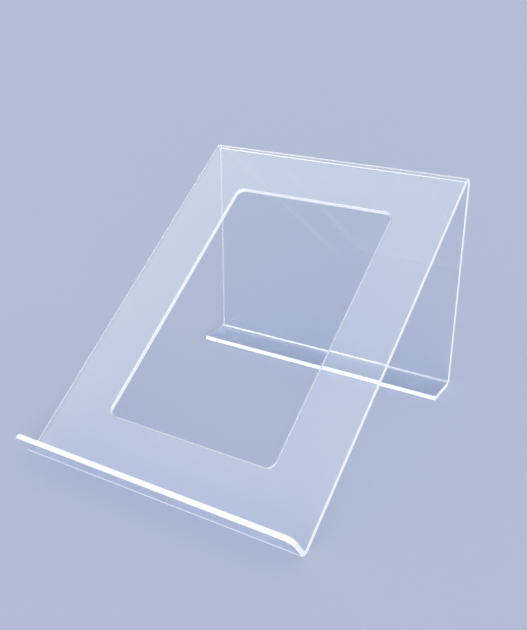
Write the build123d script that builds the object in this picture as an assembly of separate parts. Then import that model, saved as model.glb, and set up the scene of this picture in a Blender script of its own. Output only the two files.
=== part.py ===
from build123d import *
import math
import os

# Free-standing holder, line-bent from one sheet of clear acrylic, with four stuck-on clear pads.
# Millimetres. +X is right, +Y is back and +Z is up.
# The origin is on the table, under the middle of the stand.

# Sheet
sheet_width = 180.0
sheet_thickness = 3.0
bend_radius = 2.0            # inside of each of the three line bends
edge_break = 0.3             # polished arris along every cut edge

# Flats, measured on the sheet's middle plane to the sharp corners that the bends round off
panel_length = 249.0
panel_slope = 35.5           # degrees above the table
ledge_length = 21.5
ledge_opening = 90.0         # degrees between the ledge and the panel
ledge_corner = 5.0           # radius of the ledge's two free corners
foot_length = 25.0

# Window cut out of the panel
window_width = 110.0
window_length = 175.0
window_margin = 35.0         # from the front corner of the panel up to the window
window_corner = 5.0

# Pads: clear self-adhesive discs, two under the foot and two on the ledge
pad_diameter = 8.0
pad_thickness = 0.8
pad_rim = 0.25               # rounding of the free rim
pad_inset = 20.0             # from the sheet's side edge to the pad's centre
ledge_pad_gap = 0.5          # from the end of the front bend to the pad's rim

# Worked out from the sizes above
outside_radius = bend_radius + sheet_thickness
middle_radius = bend_radius + sheet_thickness / 2
half_thickness = sheet_thickness / 2
ledge_slope = panel_slope + ledge_opening


def direction(degrees):
    """Unit vector in the side view, turned up from +Y."""
    return Vector(math.cos(math.radians(degrees)), math.sin(math.radians(degrees)))


def in_space(side_point):
    """A point or direction of the side view, (Y, Z), as (0, Y, Z)."""
    return Vector(0, side_point.X, side_point.Y)


def side_corners():
    """The five corners of the sheet's middle line in the side view, centred on Y."""
    to_bend_centre = middle_radius / math.sin(math.radians(ledge_opening / 2))
    front = Vector(0, outside_radius) - direction(panel_slope + ledge_opening / 2) * to_bend_centre
    tip = front + direction(ledge_slope) * ledge_length
    top = front + direction(panel_slope) * panel_length
    rear = Vector(top.X, pad_thickness + half_thickness)
    toe = rear - Vector(foot_length, 0)
    foremost = tip.X + direction(ledge_slope + 90).X * half_thickness - direction(ledge_slope).X * edge_break
    rearmost = top.X + half_thickness
    middle = Vector((foremost + rearmost) / 2, 0)
    return [corner - middle for corner in (tip, front, top, rear, toe)]


def parallel(corners, distance):
    """The same line of corners, moved to its left by a distance."""
    moved = []
    for i, corner in enumerate(corners):
        ahead = corners[min(i + 1, len(corners) - 1)] - corners[min(i, len(corners) - 2)]
        behind = corners[max(i, 1)] - corners[max(i - 1, 0)]
        left_ahead = Vector(-ahead.Y, ahead.X).normalized()
        left_behind = Vector(-behind.Y, behind.X).normalized()
        moved.append(corner + (left_ahead + left_behind) * (distance / (1 + left_ahead.dot(left_behind))))
    return moved


tip, front, top, rear, toe = side_corners()
panel_plane = Plane(in_space(front), x_dir=(1, 0, 0), z_dir=in_space(direction(panel_slope + 90)))
ledge_plane = Plane(in_space(front), x_dir=(1, 0, 0), z_dir=in_space(direction(ledge_slope - 90)))


def runs_across(edge):
    """Whether an edge spans the sheet's thickness."""
    return abs(edge.length - sheet_thickness) < 1e-4


def arrises(sheet):
    """Every long edge of the cut faces, which are the faces that have edges across the thickness."""
    cut_faces = sheet.faces().filter_by(lambda face: any(runs_across(edge) for edge in face.edges()))
    return ShapeList(edge for face in cut_faces for edge in face.edges() if not runs_across(edge))


def bent_sheet():
    """The sheet: its side view pulled out to the width, then the cuts."""
    corners = [tip, front, top, rear, toe]
    upper = parallel(corners, half_thickness)
    lower = parallel(corners, -half_thickness)
    upper_line = FilletPolyline(*upper, radius=[bend_radius, outside_radius, outside_radius])
    lower_line = FilletPolyline(*lower, radius=[outside_radius, bend_radius, bend_radius])
    caps = Line(upper[0], lower[0]) + Line(upper[-1], lower[-1])
    side_view = Plane.YZ * make_face(upper_line + lower_line + caps)
    sheet = extrude(side_view, amount=sheet_width / 2, both=True)

    window = RectangleRounded(window_width, window_length, window_corner)
    window_centre = Pos(0, window_margin + window_length / 2, 0)
    sheet -= extrude(panel_plane * window_centre * window, amount=sheet_thickness, both=True)

    ledge_end = sheet.faces().sort_by_distance(in_space(tip))[0]
    sheet = fillet(ledge_end.edges().sort_by(SortBy.LENGTH)[:2], ledge_corner)
    return chamfer(arrises(sheet), edge_break)


def pad():
    """One pad, stuck on the XY plane, with its free face up."""
    disc = extrude(Circle(pad_diameter / 2), amount=pad_thickness)
    return fillet(disc.edges().group_by(Axis.Z)[-1], pad_rim)


def foot_pad(side):
    """A pad under the foot's flat; side is -1 on the left and 1 on the right."""
    flat_end = rear.X + half_thickness - outside_radius
    seat = Plane(origin=(side * (sheet_width / 2 - pad_inset), (toe.X + flat_end) / 2, pad_thickness),
                 x_dir=(1, 0, 0), z_dir=(0, 0, -1))
    return seat * pad()


def ledge_pad(side):
    """A pad on the ledge's inner face, just clear of the front bend."""
    bend_end = middle_radius / math.tan(math.radians(ledge_opening / 2))
    along = bend_end + ledge_pad_gap + pad_diameter / 2
    centre = Pos(side * (sheet_width / 2 - pad_inset), -along, half_thickness)
    return ledge_plane * centre * pad()


nodes = {"bent_sheet": bent_sheet()}
for side_name, side in (("left", -1), ("right", 1)):
    nodes[f"foot_pad_{side_name}"] = foot_pad(side)
    nodes[f"ledge_pad_{side_name}"] = ledge_pad(side)

os.makedirs("parts", exist_ok=True)
for name, shape in nodes.items():
    shape.label = name
    export_step(shape, f"parts/{name}.step")
    box = shape.bounding_box()
    print(name, "from", box.min, "to", box.max)
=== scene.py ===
# Free-standing clear acrylic holder, line-bent from one sheet, on a pale studio floor.
# Metres, +X right, +Y back, +Z up, with the origin on the table under the middle of the stand.

import math

import bmesh
import bpy
from mathutils import Matrix, Vector


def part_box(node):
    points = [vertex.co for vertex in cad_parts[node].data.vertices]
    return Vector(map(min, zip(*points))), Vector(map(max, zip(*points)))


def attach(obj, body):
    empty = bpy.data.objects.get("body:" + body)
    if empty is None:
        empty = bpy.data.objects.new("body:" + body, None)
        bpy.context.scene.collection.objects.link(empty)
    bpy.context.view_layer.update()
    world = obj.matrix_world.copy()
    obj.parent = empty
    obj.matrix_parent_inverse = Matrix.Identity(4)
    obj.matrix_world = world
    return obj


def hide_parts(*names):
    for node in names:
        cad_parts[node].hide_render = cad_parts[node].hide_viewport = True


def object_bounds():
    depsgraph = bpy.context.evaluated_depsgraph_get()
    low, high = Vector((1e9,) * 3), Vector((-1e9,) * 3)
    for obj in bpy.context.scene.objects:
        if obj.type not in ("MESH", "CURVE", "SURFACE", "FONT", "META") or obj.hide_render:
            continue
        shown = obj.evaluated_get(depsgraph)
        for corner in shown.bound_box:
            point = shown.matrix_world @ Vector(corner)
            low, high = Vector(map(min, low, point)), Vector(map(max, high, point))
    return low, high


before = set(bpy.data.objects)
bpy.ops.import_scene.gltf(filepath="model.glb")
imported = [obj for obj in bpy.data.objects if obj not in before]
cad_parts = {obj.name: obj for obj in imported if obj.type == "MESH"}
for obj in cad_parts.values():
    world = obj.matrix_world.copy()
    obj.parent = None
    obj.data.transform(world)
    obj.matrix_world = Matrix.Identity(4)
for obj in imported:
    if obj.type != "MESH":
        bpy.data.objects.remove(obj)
cadBox = [list(corner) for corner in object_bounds()]
mm = 0.001
halfWidth = (cadBox[1][0] - cadBox[0][0]) / mm / 2


# Shared helpers

def linear(hexColour):
    # sRGB hex to the linear colour that the nodes work in
    channels = [int(hexColour[i:i + 2], 16) / 255 for i in (1, 3, 5)]
    return [c / 12.92 if c <= 0.04045 else ((c + 0.055) / 1.055) ** 2.4 for c in channels] + [1.0]


def addNode(tree, kind, values=None, links=None, **settings):
    node = tree.nodes.new(kind)
    for name, value in settings.items():
        setattr(node, name, value)
    for name, value in (values or {}).items():
        node.inputs[name].default_value = value
    for name, source in (links or {}).items():
        tree.links.new(source, node.inputs[name])
    return node


def newMaterial(name):
    material = bpy.data.materials.new(name)
    material.use_nodes = True
    material.node_tree.nodes.clear()
    return material, material.node_tree


def addPiece(name, mesh, *materials):
    piece = bpy.data.objects.new(name, mesh)
    bpy.context.scene.collection.objects.link(piece)
    for material in materials:
        mesh.materials.append(material)
    return piece


# Clear cast acrylic: glass-clear, polished by the mould, with slow waves and a trace of haze.
# It is hazier where it was heated for bending. Low on the front bend and along the top of the crest it is
# painted satin white, as painted highlight lines.

castAcrylic = {
    "tint": "#FBFDFF",
    "shadowTint": "#F3F6FB",    # what one face lets through for the lamps
    "ior": 1.49,
    "roughness": (0.0, 0.012),  # at its clearest and at its haziest
    "hazeNoise": (0.4, 0.75),   # noise up to the first gives the clearest, from the second the haziest
    "hazePatch": 60.0,          # mm
    "waveLength": 45.0,         # mm
    "waveHeight": 0.006,        # mm
    "heatedRoughness": 0.3,     # at the middle of a square bend
    "frontLineHeight": (3.4, 3.8),   # mm above the table: painted highlight up to the first, clear from the second
    "frontLineStart": 1.2,           # mm in front of the front bend's corner, where the painted highlight starts
    "frontLineShare": 0.95,          # how white the painted highlight on the front bend looks from outside
    "paintedLineRoughness": 0.4,
    "crestLineDepth": (0.32, 0.2),     # mm below the top: clear up to the first, painted highlight from the second
    # how white the painted highlight along the crest looks from outside
    "crestLineShare": 0.65,
}


def addPaintedLines(tree, place):
    # painted highlights: how much of the sheet is painted satin white, low on the front bend and along the
    # top of the crest
    spot = addNode(tree, "ShaderNodeSeparateXYZ", None, {"Vector": place.outputs["Object"]})
    paintedTo, clearFrom = castAcrylic["frontLineHeight"]
    lowDown = addNode(tree, "ShaderNodeMapRange",
                      {"From Min": paintedTo * mm, "From Max": clearFrom * mm,
                       "To Min": castAcrylic["frontLineShare"], "To Max": 0.0},
                      {"Value": spot.outputs["Z"]})
    frontLineFrom = (sideCorners()[1].x - castAcrylic["frontLineStart"]) * mm
    atFront = addNode(tree, "ShaderNodeMath", {1: frontLineFrom}, {0: spot.outputs["Y"]}, operation="LESS_THAN")
    paintedFrontLine = addNode(tree, "ShaderNodeMath", None,
                      {0: lowDown.outputs["Result"], 1: atFront.outputs["Value"]}, operation="MULTIPLY")
    clearTo, paintedFrom = castAcrylic["crestLineDepth"]
    top = cadBox[1][2]
    paintedCrestLine = addNode(tree, "ShaderNodeMapRange",
                     {"From Min": top - clearTo * mm, "From Max": top - paintedFrom * mm,
                      "To Min": 0.0, "To Max": castAcrylic["crestLineShare"]},
                     {"Value": spot.outputs["Z"]})
    return addNode(tree, "ShaderNodeMath", None,
                   {0: paintedFrontLine.outputs["Value"], 1: paintedCrestLine.outputs["Result"]}, operation="MAXIMUM")


def makeCastAcrylic():
    material, tree = newMaterial("clearCastAcrylic")
    place = addNode(tree, "ShaderNodeTexCoord")
    haze = addNode(tree, "ShaderNodeTexNoise",
                   {"Scale": 1 / (castAcrylic["hazePatch"] * mm), "Detail": 3.0},
                   {"Vector": place.outputs["Object"]})
    noiseFrom, noiseTo = castAcrylic["hazeNoise"]
    clearest, haziest = castAcrylic["roughness"]
    roughness = addNode(tree, "ShaderNodeMapRange",
                        {"From Min": noiseFrom, "From Max": noiseTo, "To Min": clearest, "To Max": haziest},
                        {"Value": haze.outputs["Fac"]})
    heated = addNode(tree, "ShaderNodeAttribute", attribute_name="heated")
    roughened = addNode(tree, "ShaderNodeMath", {1: castAcrylic["heatedRoughness"]},
                        {0: heated.outputs["Fac"], 2: roughness.outputs["Result"]}, operation="MULTIPLY_ADD")
    waves = addNode(tree, "ShaderNodeTexNoise",
                    {"Scale": 1 / (castAcrylic["waveLength"] * mm), "Detail": 0.0},
                    {"Vector": place.outputs["Object"]})
    bump = addNode(tree, "ShaderNodeBump",
                   {"Strength": 1.0, "Distance": castAcrylic["waveHeight"] * mm},
                   {"Height": waves.outputs["Fac"]})
    clear = addNode(tree, "ShaderNodeBsdfPrincipled",
                    {"Base Color": linear(castAcrylic["tint"]), "IOR": castAcrylic["ior"],
                     "Transmission Weight": 1.0},
                    {"Roughness": roughened.outputs["Value"], "Normal": bump.outputs["Normal"]})
    # painted highlights: satin white lines low on the front bend and along the crest, seen from outside only
    paintedLines = addPaintedLines(tree, place)
    paintedLineSatin = addNode(tree, "ShaderNodeBsdfPrincipled",
                     {"Base Color": linear(castAcrylic["tint"]), "IOR": castAcrylic["ior"],
                      "Roughness": castAcrylic["paintedLineRoughness"]})
    outside = addNode(tree, "ShaderNodeMixShader", None,
                      {"Fac": paintedLines.outputs["Value"], 1: clear.outputs["BSDF"], 2: paintedLineSatin.outputs["BSDF"]})
    side = addNode(tree, "ShaderNodeNewGeometry")
    sheetLook = addNode(tree, "ShaderNodeMixShader", None,
                        {"Fac": side.outputs["Backfacing"], 1: outside.outputs["Shader"],
                         2: clear.outputs["BSDF"]})
    passing = addNode(tree, "ShaderNodeBsdfTransparent", {"Color": linear(castAcrylic["shadowTint"])})
    path = addNode(tree, "ShaderNodeLightPath")
    bounced = addNode(tree, "ShaderNodeMixShader", None,
                      {"Fac": path.outputs["Is Diffuse Ray"], 1: sheetLook.outputs["Shader"],
                       2: passing.outputs["BSDF"]})
    mixed = addNode(tree, "ShaderNodeMixShader", None,
                    {"Fac": path.outputs["Is Shadow Ray"], 1: bounced.outputs["Shader"],
                     2: passing.outputs["BSDF"]})
    addNode(tree, "ShaderNodeOutputMaterial", None, {"Surface": mixed.outputs["Shader"]})
    return material


# Sawn acrylic edge, lightly polished: bright white, because it scatters the light that the sheet carries

cutEdge = {
    "colour": "#FCFDFF",
    "ior": 1.49,
    "roughness": 0.35,
    "passes": 0.15,             # share of the light that goes through instead of scattering
    "innerWhite": 0.35,         # how white it looks from inside the sheet
    "innerMirror": "#9AA6BF",   # and what it mirrors there of the rest
    "innerRoughness": 0.45,
    "sawMarks": 0.6,            # mm from mark to mark
    "sawDepth": 0.02,           # mm
    "sawStrength": 0.5,
}


def makeCutEdge():
    material, tree = newMaterial("polishedAcrylicEdge")
    place = addNode(tree, "ShaderNodeTexCoord")
    marks = addNode(tree, "ShaderNodeTexNoise",
                    {"Scale": 1 / (cutEdge["sawMarks"] * mm), "Detail": 1.0},
                    {"Vector": place.outputs["Object"]})
    bump = addNode(tree, "ShaderNodeBump",
                   {"Strength": cutEdge["sawStrength"], "Distance": cutEdge["sawDepth"] * mm},
                   {"Height": marks.outputs["Fac"]})
    edge = addNode(tree, "ShaderNodeBsdfPrincipled",
                   {"Base Color": linear(cutEdge["colour"]), "IOR": cutEdge["ior"],
                    "Roughness": cutEdge["roughness"], "Transmission Weight": cutEdge["passes"]},
                   {"Normal": bump.outputs["Normal"]})
    inner = addNode(tree, "ShaderNodeBsdfPrincipled",
                    {"Base Color": linear(cutEdge["colour"]), "IOR": cutEdge["ior"],
                     "Specular Tint": linear(cutEdge["innerMirror"]),
                     "Roughness": cutEdge["innerRoughness"], "Transmission Weight": 1.0})
    fromInside = addNode(tree, "ShaderNodeMixShader", {"Fac": cutEdge["innerWhite"]},
                         {1: inner.outputs["BSDF"], 2: edge.outputs["BSDF"]})
    side = addNode(tree, "ShaderNodeNewGeometry")
    mixed = addNode(tree, "ShaderNodeMixShader", None,
                    {"Fac": side.outputs["Backfacing"], 1: edge.outputs["BSDF"],
                     2: fromInside.outputs["Shader"]})
    addNode(tree, "ShaderNodeOutputMaterial", None, {"Surface": mixed.outputs["Shader"]})
    return material


# Scraped arris: the narrow chamfer along a cut edge, satin from outside, clearer from inside the sheet

arris = {
    "colour": "#FCFDFF",
    "ior": 1.49,
    "roughness": 0.3,
    "passes": 0.4,              # share of the light that goes through instead of scattering
    "innerPasses": 0.85,
    "innerRoughness": 0.35,
}


def makeArris():
    material, tree = newMaterial("scrapedAcrylicArris")
    outside = addNode(tree, "ShaderNodeBsdfPrincipled",
                      {"Base Color": linear(arris["colour"]), "IOR": arris["ior"],
                       "Roughness": arris["roughness"], "Transmission Weight": arris["passes"]})
    inside = addNode(tree, "ShaderNodeBsdfPrincipled",
                     {"Base Color": linear(arris["colour"]), "IOR": arris["ior"],
                      "Roughness": arris["innerRoughness"], "Transmission Weight": arris["innerPasses"]})
    side = addNode(tree, "ShaderNodeNewGeometry")
    mixed = addNode(tree, "ShaderNodeMixShader", None,
                    {"Fac": side.outputs["Backfacing"], 1: outside.outputs["BSDF"],
                     2: inside.outputs["BSDF"]})
    addNode(tree, "ShaderNodeOutputMaterial", None, {"Surface": mixed.outputs["Shader"]})
    return material


# Clear silicone: soft, satin, a little milky

silicone = {
    "colour": "#F4F7FA",
    "ior": 1.41,
    "roughness": 0.35,
    "body": 0.12,               # how much of it shows; the rest is what lies behind
}


def makeSilicone():
    material, tree = newMaterial("clearMouldedSilicone")
    body = addNode(tree, "ShaderNodeBsdfPrincipled",
                   {"Base Color": linear(silicone["colour"]), "IOR": silicone["ior"],
                    "Roughness": silicone["roughness"]})
    passing = addNode(tree, "ShaderNodeBsdfTransparent")
    mixed = addNode(tree, "ShaderNodeMixShader", {"Fac": silicone["body"]},
                    {1: passing.outputs["BSDF"], 2: body.outputs["BSDF"]})
    addNode(tree, "ShaderNodeOutputMaterial", None, {"Surface": mixed.outputs["Shader"]})
    return material


# The bent sheet. Sizes in mm, flats measured on the middle plane to the corners that the bends round off

sheet = {
    "thickness": 3.0,
    "bendRadius": 2.0,          # inside
    "bendStep": 3.0,            # degrees from one row of faces to the next
    "besideBend": 1.0,          # a row of faces this wide keeps the flats' shading flat
    "faceWidth": 4.0,
    "ledgeLength": 21.5,
    "ledgeOpening": 90.0,       # degrees between ledge and panel
    "panelLength": 249.0,
    "panelSlope": 35.5,         # degrees above the table
    "footLength": 25.0,
    "footClearance": 0.8,       # the pads' thickness
    "windowWidth": 110.0,
    "windowLength": 175.0,
    "windowMargin": 35.0,       # from the front corner up to the window
    "cornerRadius": 5.0,        # window and ledge
    "cornerSteps": 10,
    "wholeColumn": 2.5,         # corner radii; a narrower column holds a round corner and isn't divided
    "edgeBreak": 0.3,
    "breakAngle": 60.0,         # degrees; only corners sharper than this are broken
    "creaseAngle": 20.0,        # degrees; faces that meet at less are shaded as one
}
bends = (1, 3, 5)               # front, top and rear, by their places in the list from layOut
hair = 1e-6                     # mm, so that the end of a flat or bend still counts as part of it


def turned(degrees):
    return Vector((math.cos(math.radians(degrees)), math.sin(math.radians(degrees))))


def sideCorners():
    # tip of the ledge, front, top, rear and toe of the middle plane, as (Y, Z) in mm
    middleRadius = sheet["bendRadius"] + sheet["thickness"] / 2
    outerRadius = sheet["bendRadius"] + sheet["thickness"]
    halfOpening = sheet["ledgeOpening"] / 2
    slope = sheet["panelSlope"]
    fromCorner = turned(slope + halfOpening) * middleRadius / math.sin(math.radians(halfOpening))
    front = Vector((0, outerRadius)) - fromCorner
    tip = front + turned(slope + sheet["ledgeOpening"]) * sheet["ledgeLength"]
    top = front + turned(slope) * sheet["panelLength"]
    rear = Vector((top.x, sheet["footClearance"] + sheet["thickness"] / 2))
    toe = rear - Vector((sheet["footLength"], 0))
    shift = Vector((cadBox[1][1] / mm - sheet["thickness"] / 2 - rear.x, 0))
    return [corner + shift for corner in (tip, front, top, rear, toe)]


def layOut(corners):
    # (length, start, heading, turn) for each flat and bend, in order along the sheet
    radius = sheet["bendRadius"] + sheet["thickness"] / 2
    headings = [math.degrees(math.atan2(b.y - a.y, b.x - a.x)) for a, b in zip(corners, corners[1:])]
    turns = [(b - a + 180) % 360 - 180 for a, b in zip(headings, headings[1:])]
    cuts = [0] + [radius * math.tan(math.radians(abs(turn)) / 2) for turn in turns] + [0]
    stretches = []
    for i, heading in enumerate(headings):
        start = corners[i] + turned(heading) * cuts[i]
        flat = (corners[i + 1] - corners[i]).length - cuts[i] - cuts[i + 1]
        stretches.append((flat, start, heading, 0))
        if i < len(turns):
            bend = radius * math.radians(abs(turns[i]))
            stretches.append((bend, start + turned(heading) * flat, heading, turns[i]))
    return stretches


def placeAlong(stretches, run):
    # (Y, Z) in mm at a distance along the middle plane
    radius = sheet["bendRadius"] + sheet["thickness"] / 2
    for length, start, heading, turn in stretches:
        if run <= length + hair:
            break
        run -= length
    if not turn:
        return start + turned(heading) * run
    side = math.copysign(90, turn)
    centre = start + turned(heading + side) * radius
    return centre - turned(heading + side + turn * run / length) * radius


def heatAt(stretches, starts, run):
    # 1 on the middle line of a square bend, more where the turn is sharper, 0 from the end of the bend on
    for bend in bends:
        length, turn = stretches[bend][0], stretches[bend][3]
        share = (run - starts[bend]) / length
        if 0 < share < 1:
            return (turn / 90) ** 2 * math.sin(math.pi * share) ** 2
    return 0.0


def layRows(stretches, starts, windowStart, windowEnd):
    # where faces end along the sheet: at round corners, at the window and all through the bends
    radius = sheet["cornerRadius"]
    rows = [0, radius, starts[-1]]
    for end in (windowStart, windowEnd):
        rows += [end - radius, end + radius]
    for bend in bends:
        steps = math.ceil(abs(stretches[bend][3]) / sheet["bendStep"])
        rows += [starts[bend] + stretches[bend][0] * i / steps for i in range(steps + 1)]
        rows += [starts[bend] - sheet["besideBend"], starts[bend + 1] + sheet["besideBend"]]
    return sorted(rows)


def layColumns():
    # where faces end across the sheet
    radius = sheet["cornerRadius"]
    halfWindow = sheet["windowWidth"] / 2
    right = [halfWindow - radius, halfWindow + radius, halfWidth - radius, halfWidth]
    stops = [-x for x in reversed(right)] + right
    columns = [-halfWidth]
    for left, rightward in zip(stops, stops[1:]):
        # what lies between the round corners is divided, so that no face is a sliver
        wide = rightward - left
        parts = 1 if wide < sheet["wholeColumn"] * radius else math.ceil(wide / sheet["faceWidth"])
        columns += [left + wide * (i + 1) / parts for i in range(parts)]
    return columns


def roundCorner(x, run, toX, toRun):
    # quarter circle about (x, run), from its X side to its length side
    radius = sheet["cornerRadius"]
    angles = [math.pi / 2 * i / sheet["cornerSteps"] for i in range(sheet["cornerSteps"] + 1)]
    return [(x + toX * radius * math.cos(a), run + toRun * radius * math.sin(a)) for a in angles]


def cutCell(left, rightward, low, high, windowStart, windowEnd):
    # what is left of one cell of the flat blank, as (x, run), once the window and the ledge's corners are cut
    radius = sheet["cornerRadius"]
    halfWindow = sheet["windowWidth"] / 2
    x = (left + rightward) / 2
    run = (low + high) / 2
    out = math.copysign(1, x)
    if abs(x) > halfWidth - radius and run < radius:
        centre = out * (halfWidth - radius)
        return [(centre, radius)] + roundCorner(centre, radius, out, -1)
    if abs(x) > halfWindow + radius or not windowStart - radius < run < windowEnd + radius:
        return [(left, low), (rightward, low), (rightward, high), (left, high)]
    side = out * halfWindow
    end, on = (windowEnd, 1) if run > (windowStart + windowEnd) / 2 else (windowStart, -1)
    besideIt = abs(x) > halfWindow - radius
    pastIt = abs(run - end) < radius
    if besideIt and pastIt:
        arc = roundCorner(side - out * radius, end - on * radius, out, on)
        return arc + [(side - out * radius, end + on * radius), (side + out * radius, end + on * radius),
                      (side + out * radius, end - on * radius)]
    if besideIt:
        return [(side, low), (side + out * radius, low), (side + out * radius, high), (side, high)]
    if pastIt:
        return [(left, end), (rightward, end), (rightward, end + on * radius), (left, end + on * radius)]
    return []


def makeSheetMesh():
    stretches = layOut(sideCorners())
    starts = [sum(stretch[0] for stretch in stretches[:i]) for i in range(len(stretches) + 1)]
    frontCut = (sideCorners()[1] - stretches[2][1]).length
    windowStart = starts[2] - frontCut + sheet["windowMargin"]
    windowEnd = windowStart + sheet["windowLength"]
    bm = bmesh.new()
    heated = bm.verts.layers.float.new("heated")
    made = {}

    def addFace(outline):
        # neighbours share their corners, and every face is wound the same way
        area = sum(a[0] * b[1] - b[0] * a[1] for a, b in zip(outline, outline[1:] + outline[:1]))
        for x, run in outline:
            if (round(x, 3), round(run, 3)) not in made:
                side = placeAlong(stretches, run)
                corner = bm.verts.new(Vector((x, side.x, side.y)) * mm)
                corner[heated] = heatAt(stretches, starts, run)
                made[round(x, 3), round(run, 3)] = corner
        corners = [made[round(x, 3), round(run, 3)] for x, run in outline]
        bm.faces.new(corners if area > 0 else corners[::-1]).smooth = True

    rows = layRows(stretches, starts, windowStart, windowEnd)
    columns = layColumns()
    for low, high in zip(rows, rows[1:]):
        for left, rightward in zip(columns, columns[1:]):
            outline = cutCell(left, rightward, low, high, windowStart, windowEnd)
            if outline:
                addFace(outline)
    mesh = bpy.data.meshes.new("bentSheet")
    bm.to_mesh(mesh)
    bm.free()
    return mesh


sheetLooks = (makeCastAcrylic(), makeCutEdge(), makeArris())
bentSheet = addPiece("bentSheet", makeSheetMesh(), *sheetLooks)
walls = bentSheet.modifiers.new("walls", "SOLIDIFY")
walls.thickness = sheet["thickness"] * mm
walls.offset = 0
walls.use_even_offset = True
walls.use_quality_normals = True
walls.material_offset_rim = 1       # the cut edge's place among the looks
chamfer = bentSheet.modifiers.new("chamfer", "BEVEL")
chamfer.width = sheet["edgeBreak"] * mm
chamfer.segments = 1
chamfer.limit_method = "ANGLE"
chamfer.angle_limit = math.radians(sheet["breakAngle"])
chamfer.use_clamp_overlap = False
chamfer.material = 2                # and the arris's

graph = bpy.context.evaluated_depsgraph_get()
walled = bentSheet.evaluated_get(graph)
finished = bpy.data.meshes.new_from_object(walled, preserve_all_data_layers=True, depsgraph=graph)
bentSheet.modifiers.clear()
bentSheet.data = finished
finished.set_sharp_from_angle(angle=math.radians(sheet["creaseAngle"]))
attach(bentSheet, "root")
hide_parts("bent_sheet")
print("sheet made")


# Pads: clear self-adhesive discs, square where they are stuck on and rounded on the free side

pad = {
    "sides": 64,
    "rim": 0.25,                # mm, radius of the round along the free side
    "rimSteps": 6,
    "crown": 0.04,              # mm, how far the free side swells
    "glueLine": 0.02,           # mm between disc and sheet
    "creaseAngle": 50.0,        # degrees; faces that meet at less are shaded as one
}
clearSilicone = makeSilicone()


def makePad(name, node, freeSide):
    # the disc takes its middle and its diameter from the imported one
    low, high = (Vector(corner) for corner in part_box(node))
    radius = (high.x - low.x) / 2
    half = sheet["footClearance"] * mm / 2
    rim = pad["rim"] * mm
    rings = [(radius, -half + pad["glueLine"] * mm)]
    for i in range(pad["rimSteps"] + 1):
        angle = math.pi / 2 * i / pad["rimSteps"]
        rings.append((radius - rim + rim * math.cos(angle),
                      half - (rim + pad["crown"] * mm) + rim * math.sin(angle)))

    bm = bmesh.new()
    turnedRound = [2 * math.pi * i / pad["sides"] for i in range(pad["sides"])]
    loops = [[bm.verts.new((r * math.cos(a), r * math.sin(a), z)) for a in turnedRound] for r, z in rings]
    for lower, upper in zip(loops, loops[1:]):
        for i in range(pad["sides"]):
            j = (i + 1) % pad["sides"]
            bm.faces.new((lower[i], lower[j], upper[j], upper[i]))
    bm.faces.new(loops[0][::-1])
    crown = bm.verts.new((0, 0, half))
    for i in range(pad["sides"]):
        bm.faces.new((loops[-1][i], loops[-1][(i + 1) % pad["sides"]], crown))
    for face in bm.faces:
        face.smooth = True
    facing = Vector(freeSide).to_track_quat("Z", "Y").to_matrix().to_4x4()
    bmesh.ops.transform(bm, matrix=Matrix.Translation((low + high) / 2) @ facing, verts=bm.verts)
    mesh = bpy.data.meshes.new(name)
    bm.to_mesh(mesh)
    bm.free()
    mesh.set_sharp_from_angle(angle=math.radians(pad["creaseAngle"]))
    disc = addPiece(name, mesh, clearSilicone)
    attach(disc, "root")
    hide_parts(node)


upSlope = turned(sheet["panelSlope"])
for side in ("Left", "Right"):
    makePad("footPad" + side, "foot_pad_" + side.lower(), (0, 0, -1))
    makePad("ledgePad" + side, "ledge_pad_" + side.lower(), (0, upSlope.x, upSlope.y))
print("pads made")


# Floor: pale matte paper, larger than the view

floor = {
    "colour": "#BAC4DD",
    "roughness": 0.9,
    "radius": 12.0,             # metres
    "sides": 96,
    "drop": 0.02,               # mm below the pads, so that no two faces share a plane
}


def makeFloor():
    material, tree = newMaterial("palePaper")
    paper = addNode(tree, "ShaderNodeBsdfPrincipled",
                    {"Base Color": linear(floor["colour"]), "Roughness": floor["roughness"],
                     "Specular IOR Level": 0.0})
    addNode(tree, "ShaderNodeOutputMaterial", None, {"Surface": paper.outputs["BSDF"]})
    bm = bmesh.new()
    bmesh.ops.create_circle(bm, cap_ends=True, segments=floor["sides"], radius=floor["radius"],
                            matrix=Matrix.Translation((0, 0, -floor["drop"] * mm)))
    mesh = bpy.data.meshes.new("studioFloor")
    bm.to_mesh(mesh)
    bm.free()
    addPiece("studioFloor", mesh, material)


makeFloor()
print("floor laid")


# Light: an even pale room and one broad key from the right front. An overhead glow and a strip lamp from the
# left front show in the gloss alone, the lamp as a light line along the rear bend.

light = {
    "roomStrength": 0.75,
    "roomSeen": "#B3BDD5",      # what the camera and the gloss see of the room
    "keyDirection": (0.50, -0.84, 0.21),
    "keyStrength": 2.5,
    "keySpread": 30.0,          # degrees across
    "glowDirection": (-0.48, -0.10, 0.87),
    "glowCore": 24.0,           # degrees from its middle to where it starts to fade
    "glowEdge": 62.0,           # and to where it ends
    "glowStrength": 2.0,
    "glowFullDepth": 4.0,       # bounces; on a longer way through the sheet the glow fades
    "glowNoDepth": 9.0,
    "gleamDirection": (-0.39, -0.62, 0.66),     # from the rear bend to the strip lamp
    "gleamAway": 1.2,           # metres
    "gleamPower": 0.17,         # watts
    "gleamSize": (0.55, 0.05),  # metres
    "gleamSpread": 12.0,        # degrees
}


def aim(lamp, place, target):
    lamp.location = place
    lamp.rotation_euler = (Vector(target) - Vector(place)).to_track_quat("-Z", "Y").to_euler()


def addLamp(name, kind, **settings):
    data = bpy.data.lights.new(name, kind)
    for setting, value in settings.items():
        setattr(data, setting, value)
    lamp = bpy.data.objects.new(name, data)
    bpy.context.scene.collection.objects.link(lamp)
    lamp.visible_camera = False
    return lamp


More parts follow.
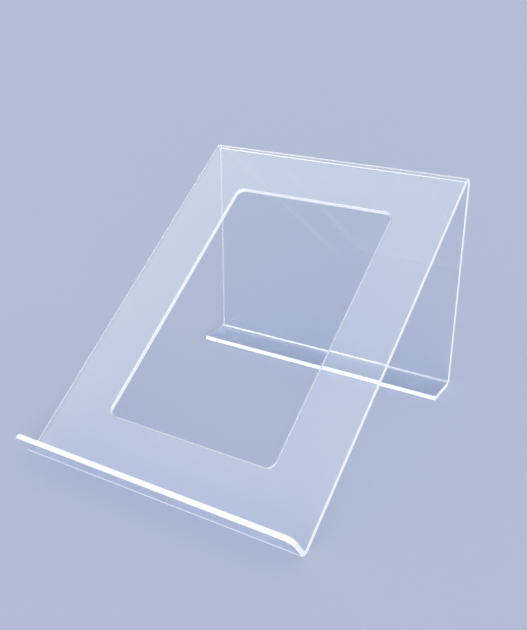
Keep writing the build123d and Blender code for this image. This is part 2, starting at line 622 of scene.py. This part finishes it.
def makeLight():
    world = bpy.data.worlds.new("paleRoom")
    bpy.context.scene.world = world
    world.use_nodes = True
    tree = world.node_tree
    tree.nodes.clear()
    path = addNode(tree, "ShaderNodeLightPath")
    lit = addNode(tree, "ShaderNodeBackground",
                  {"Color": linear("#FFFFFF"), "Strength": light["roomStrength"]})
    seen = addNode(tree, "ShaderNodeBackground", {"Color": linear(light["roomSeen"]), "Strength": 1.0})
    glow = addNode(tree, "ShaderNodeBackground",
                   {"Color": linear("#FFFFFF"), "Strength": light["glowStrength"]})
    direction = addNode(tree, "ShaderNodeTexCoord")
    nearness = addNode(tree, "ShaderNodeVectorMath", {1: Vector(light["glowDirection"]).normalized()},
                       {0: direction.outputs["Generated"]}, operation="DOT_PRODUCT")
    glowShare = addNode(tree, "ShaderNodeMapRange",
                        {"From Min": math.cos(math.radians(light["glowEdge"])),
                         "From Max": math.cos(math.radians(light["glowCore"]))},
                        {"Value": nearness.outputs["Value"]}, interpolation_type="SMOOTHSTEP")
    fade = addNode(tree, "ShaderNodeMapRange",
                   {"From Min": light["glowFullDepth"], "From Max": light["glowNoDepth"],
                    "To Min": 1.0, "To Max": 0.0},
                   {"Value": path.outputs["Ray Depth"]})
    glowing = addNode(tree, "ShaderNodeMath", None,
                      {0: glowShare.outputs["Result"], 1: fade.outputs["Result"]}, operation="MULTIPLY")
    mirrored = addNode(tree, "ShaderNodeMixShader", None,
                       {"Fac": glowing.outputs["Value"], 1: seen.outputs["Background"],
                        2: glow.outputs["Background"]})
    shiny = addNode(tree, "ShaderNodeMath", None,
                    {0: path.outputs["Is Transmission Ray"], 1: path.outputs["Is Glossy Ray"]},
                    operation="MAXIMUM")
    bounced = addNode(tree, "ShaderNodeMixShader", None,
                      {"Fac": shiny.outputs["Value"], 1: lit.outputs["Background"],
                       2: mirrored.outputs["Shader"]})
    mixed = addNode(tree, "ShaderNodeMixShader", None,
                    {"Fac": path.outputs["Is Camera Ray"], 1: bounced.outputs["Shader"],
                     2: seen.outputs["Background"]})
    addNode(tree, "ShaderNodeOutputWorld", None, {"Surface": mixed.outputs["Shader"]})

    key = addLamp("keySun", "SUN", energy=light["keyStrength"], angle=math.radians(light["keySpread"]))
    aim(key, light["keyDirection"], (0, 0, 0))
    rear = sideCorners()[3] * mm
    rearBend = Vector((0, rear.x, rear.y))
    wide, thin = light["gleamSize"]
    gleam = addLamp("rearBendGleam", "AREA", energy=light["gleamPower"], shape="RECTANGLE",
                    size=wide, size_y=thin, spread=math.radians(light["gleamSpread"]))
    aim(gleam, rearBend + Vector(light["gleamDirection"]).normalized() * light["gleamAway"], rearBend)
    gleam.visible_diffuse = False       # only there for the bend to mirror
    gleam.visible_transmission = False


makeLight()
print("lights set")


# Camera, fitted to the straight edges in the photograph

camera = {
    "place": (0.23994, -0.38756, 0.26850),
    "azimuth": 30.777,          # degrees, turned left from +Y
    "down": 23.386,
    "roll": 0.354,
    "lens": 48.24,              # mm
    "sensor": 36.0,             # mm
    "nearest": 0.01,            # metres
    "farthest": 50.0,
}


def makeCamera():
    data = bpy.data.cameras.new("camera")
    data.lens = camera["lens"]
    data.sensor_width = camera["sensor"]
    data.clip_start = camera["nearest"]
    data.clip_end = camera["farthest"]
    body = bpy.data.objects.new("camera", data)
    bpy.context.scene.collection.objects.link(body)
    body.matrix_world = (Matrix.Translation(camera["place"])
                         @ Matrix.Rotation(math.radians(camera["azimuth"]), 4, "Z")
                         @ Matrix.Rotation(math.radians(90 - camera["down"]), 4, "X")
                         @ Matrix.Rotation(math.radians(camera["roll"]), 4, "Z"))
    bpy.context.scene.camera = body


makeCamera()
bpy.context.scene.view_settings.view_transform = "Standard"

insideBounces = 128             # light runs a long way inside clear sheet before it comes out
clearFaces = 32                 # how many see-through faces it may pass
cycles = bpy.context.scene.cycles
cycles.max_bounces = insideBounces
cycles.glossy_bounces = insideBounces
cycles.transmission_bounces = insideBounces
cycles.transparent_max_bounces = clearFaces
print("camera placed")

bpy.context.view_layer.update()
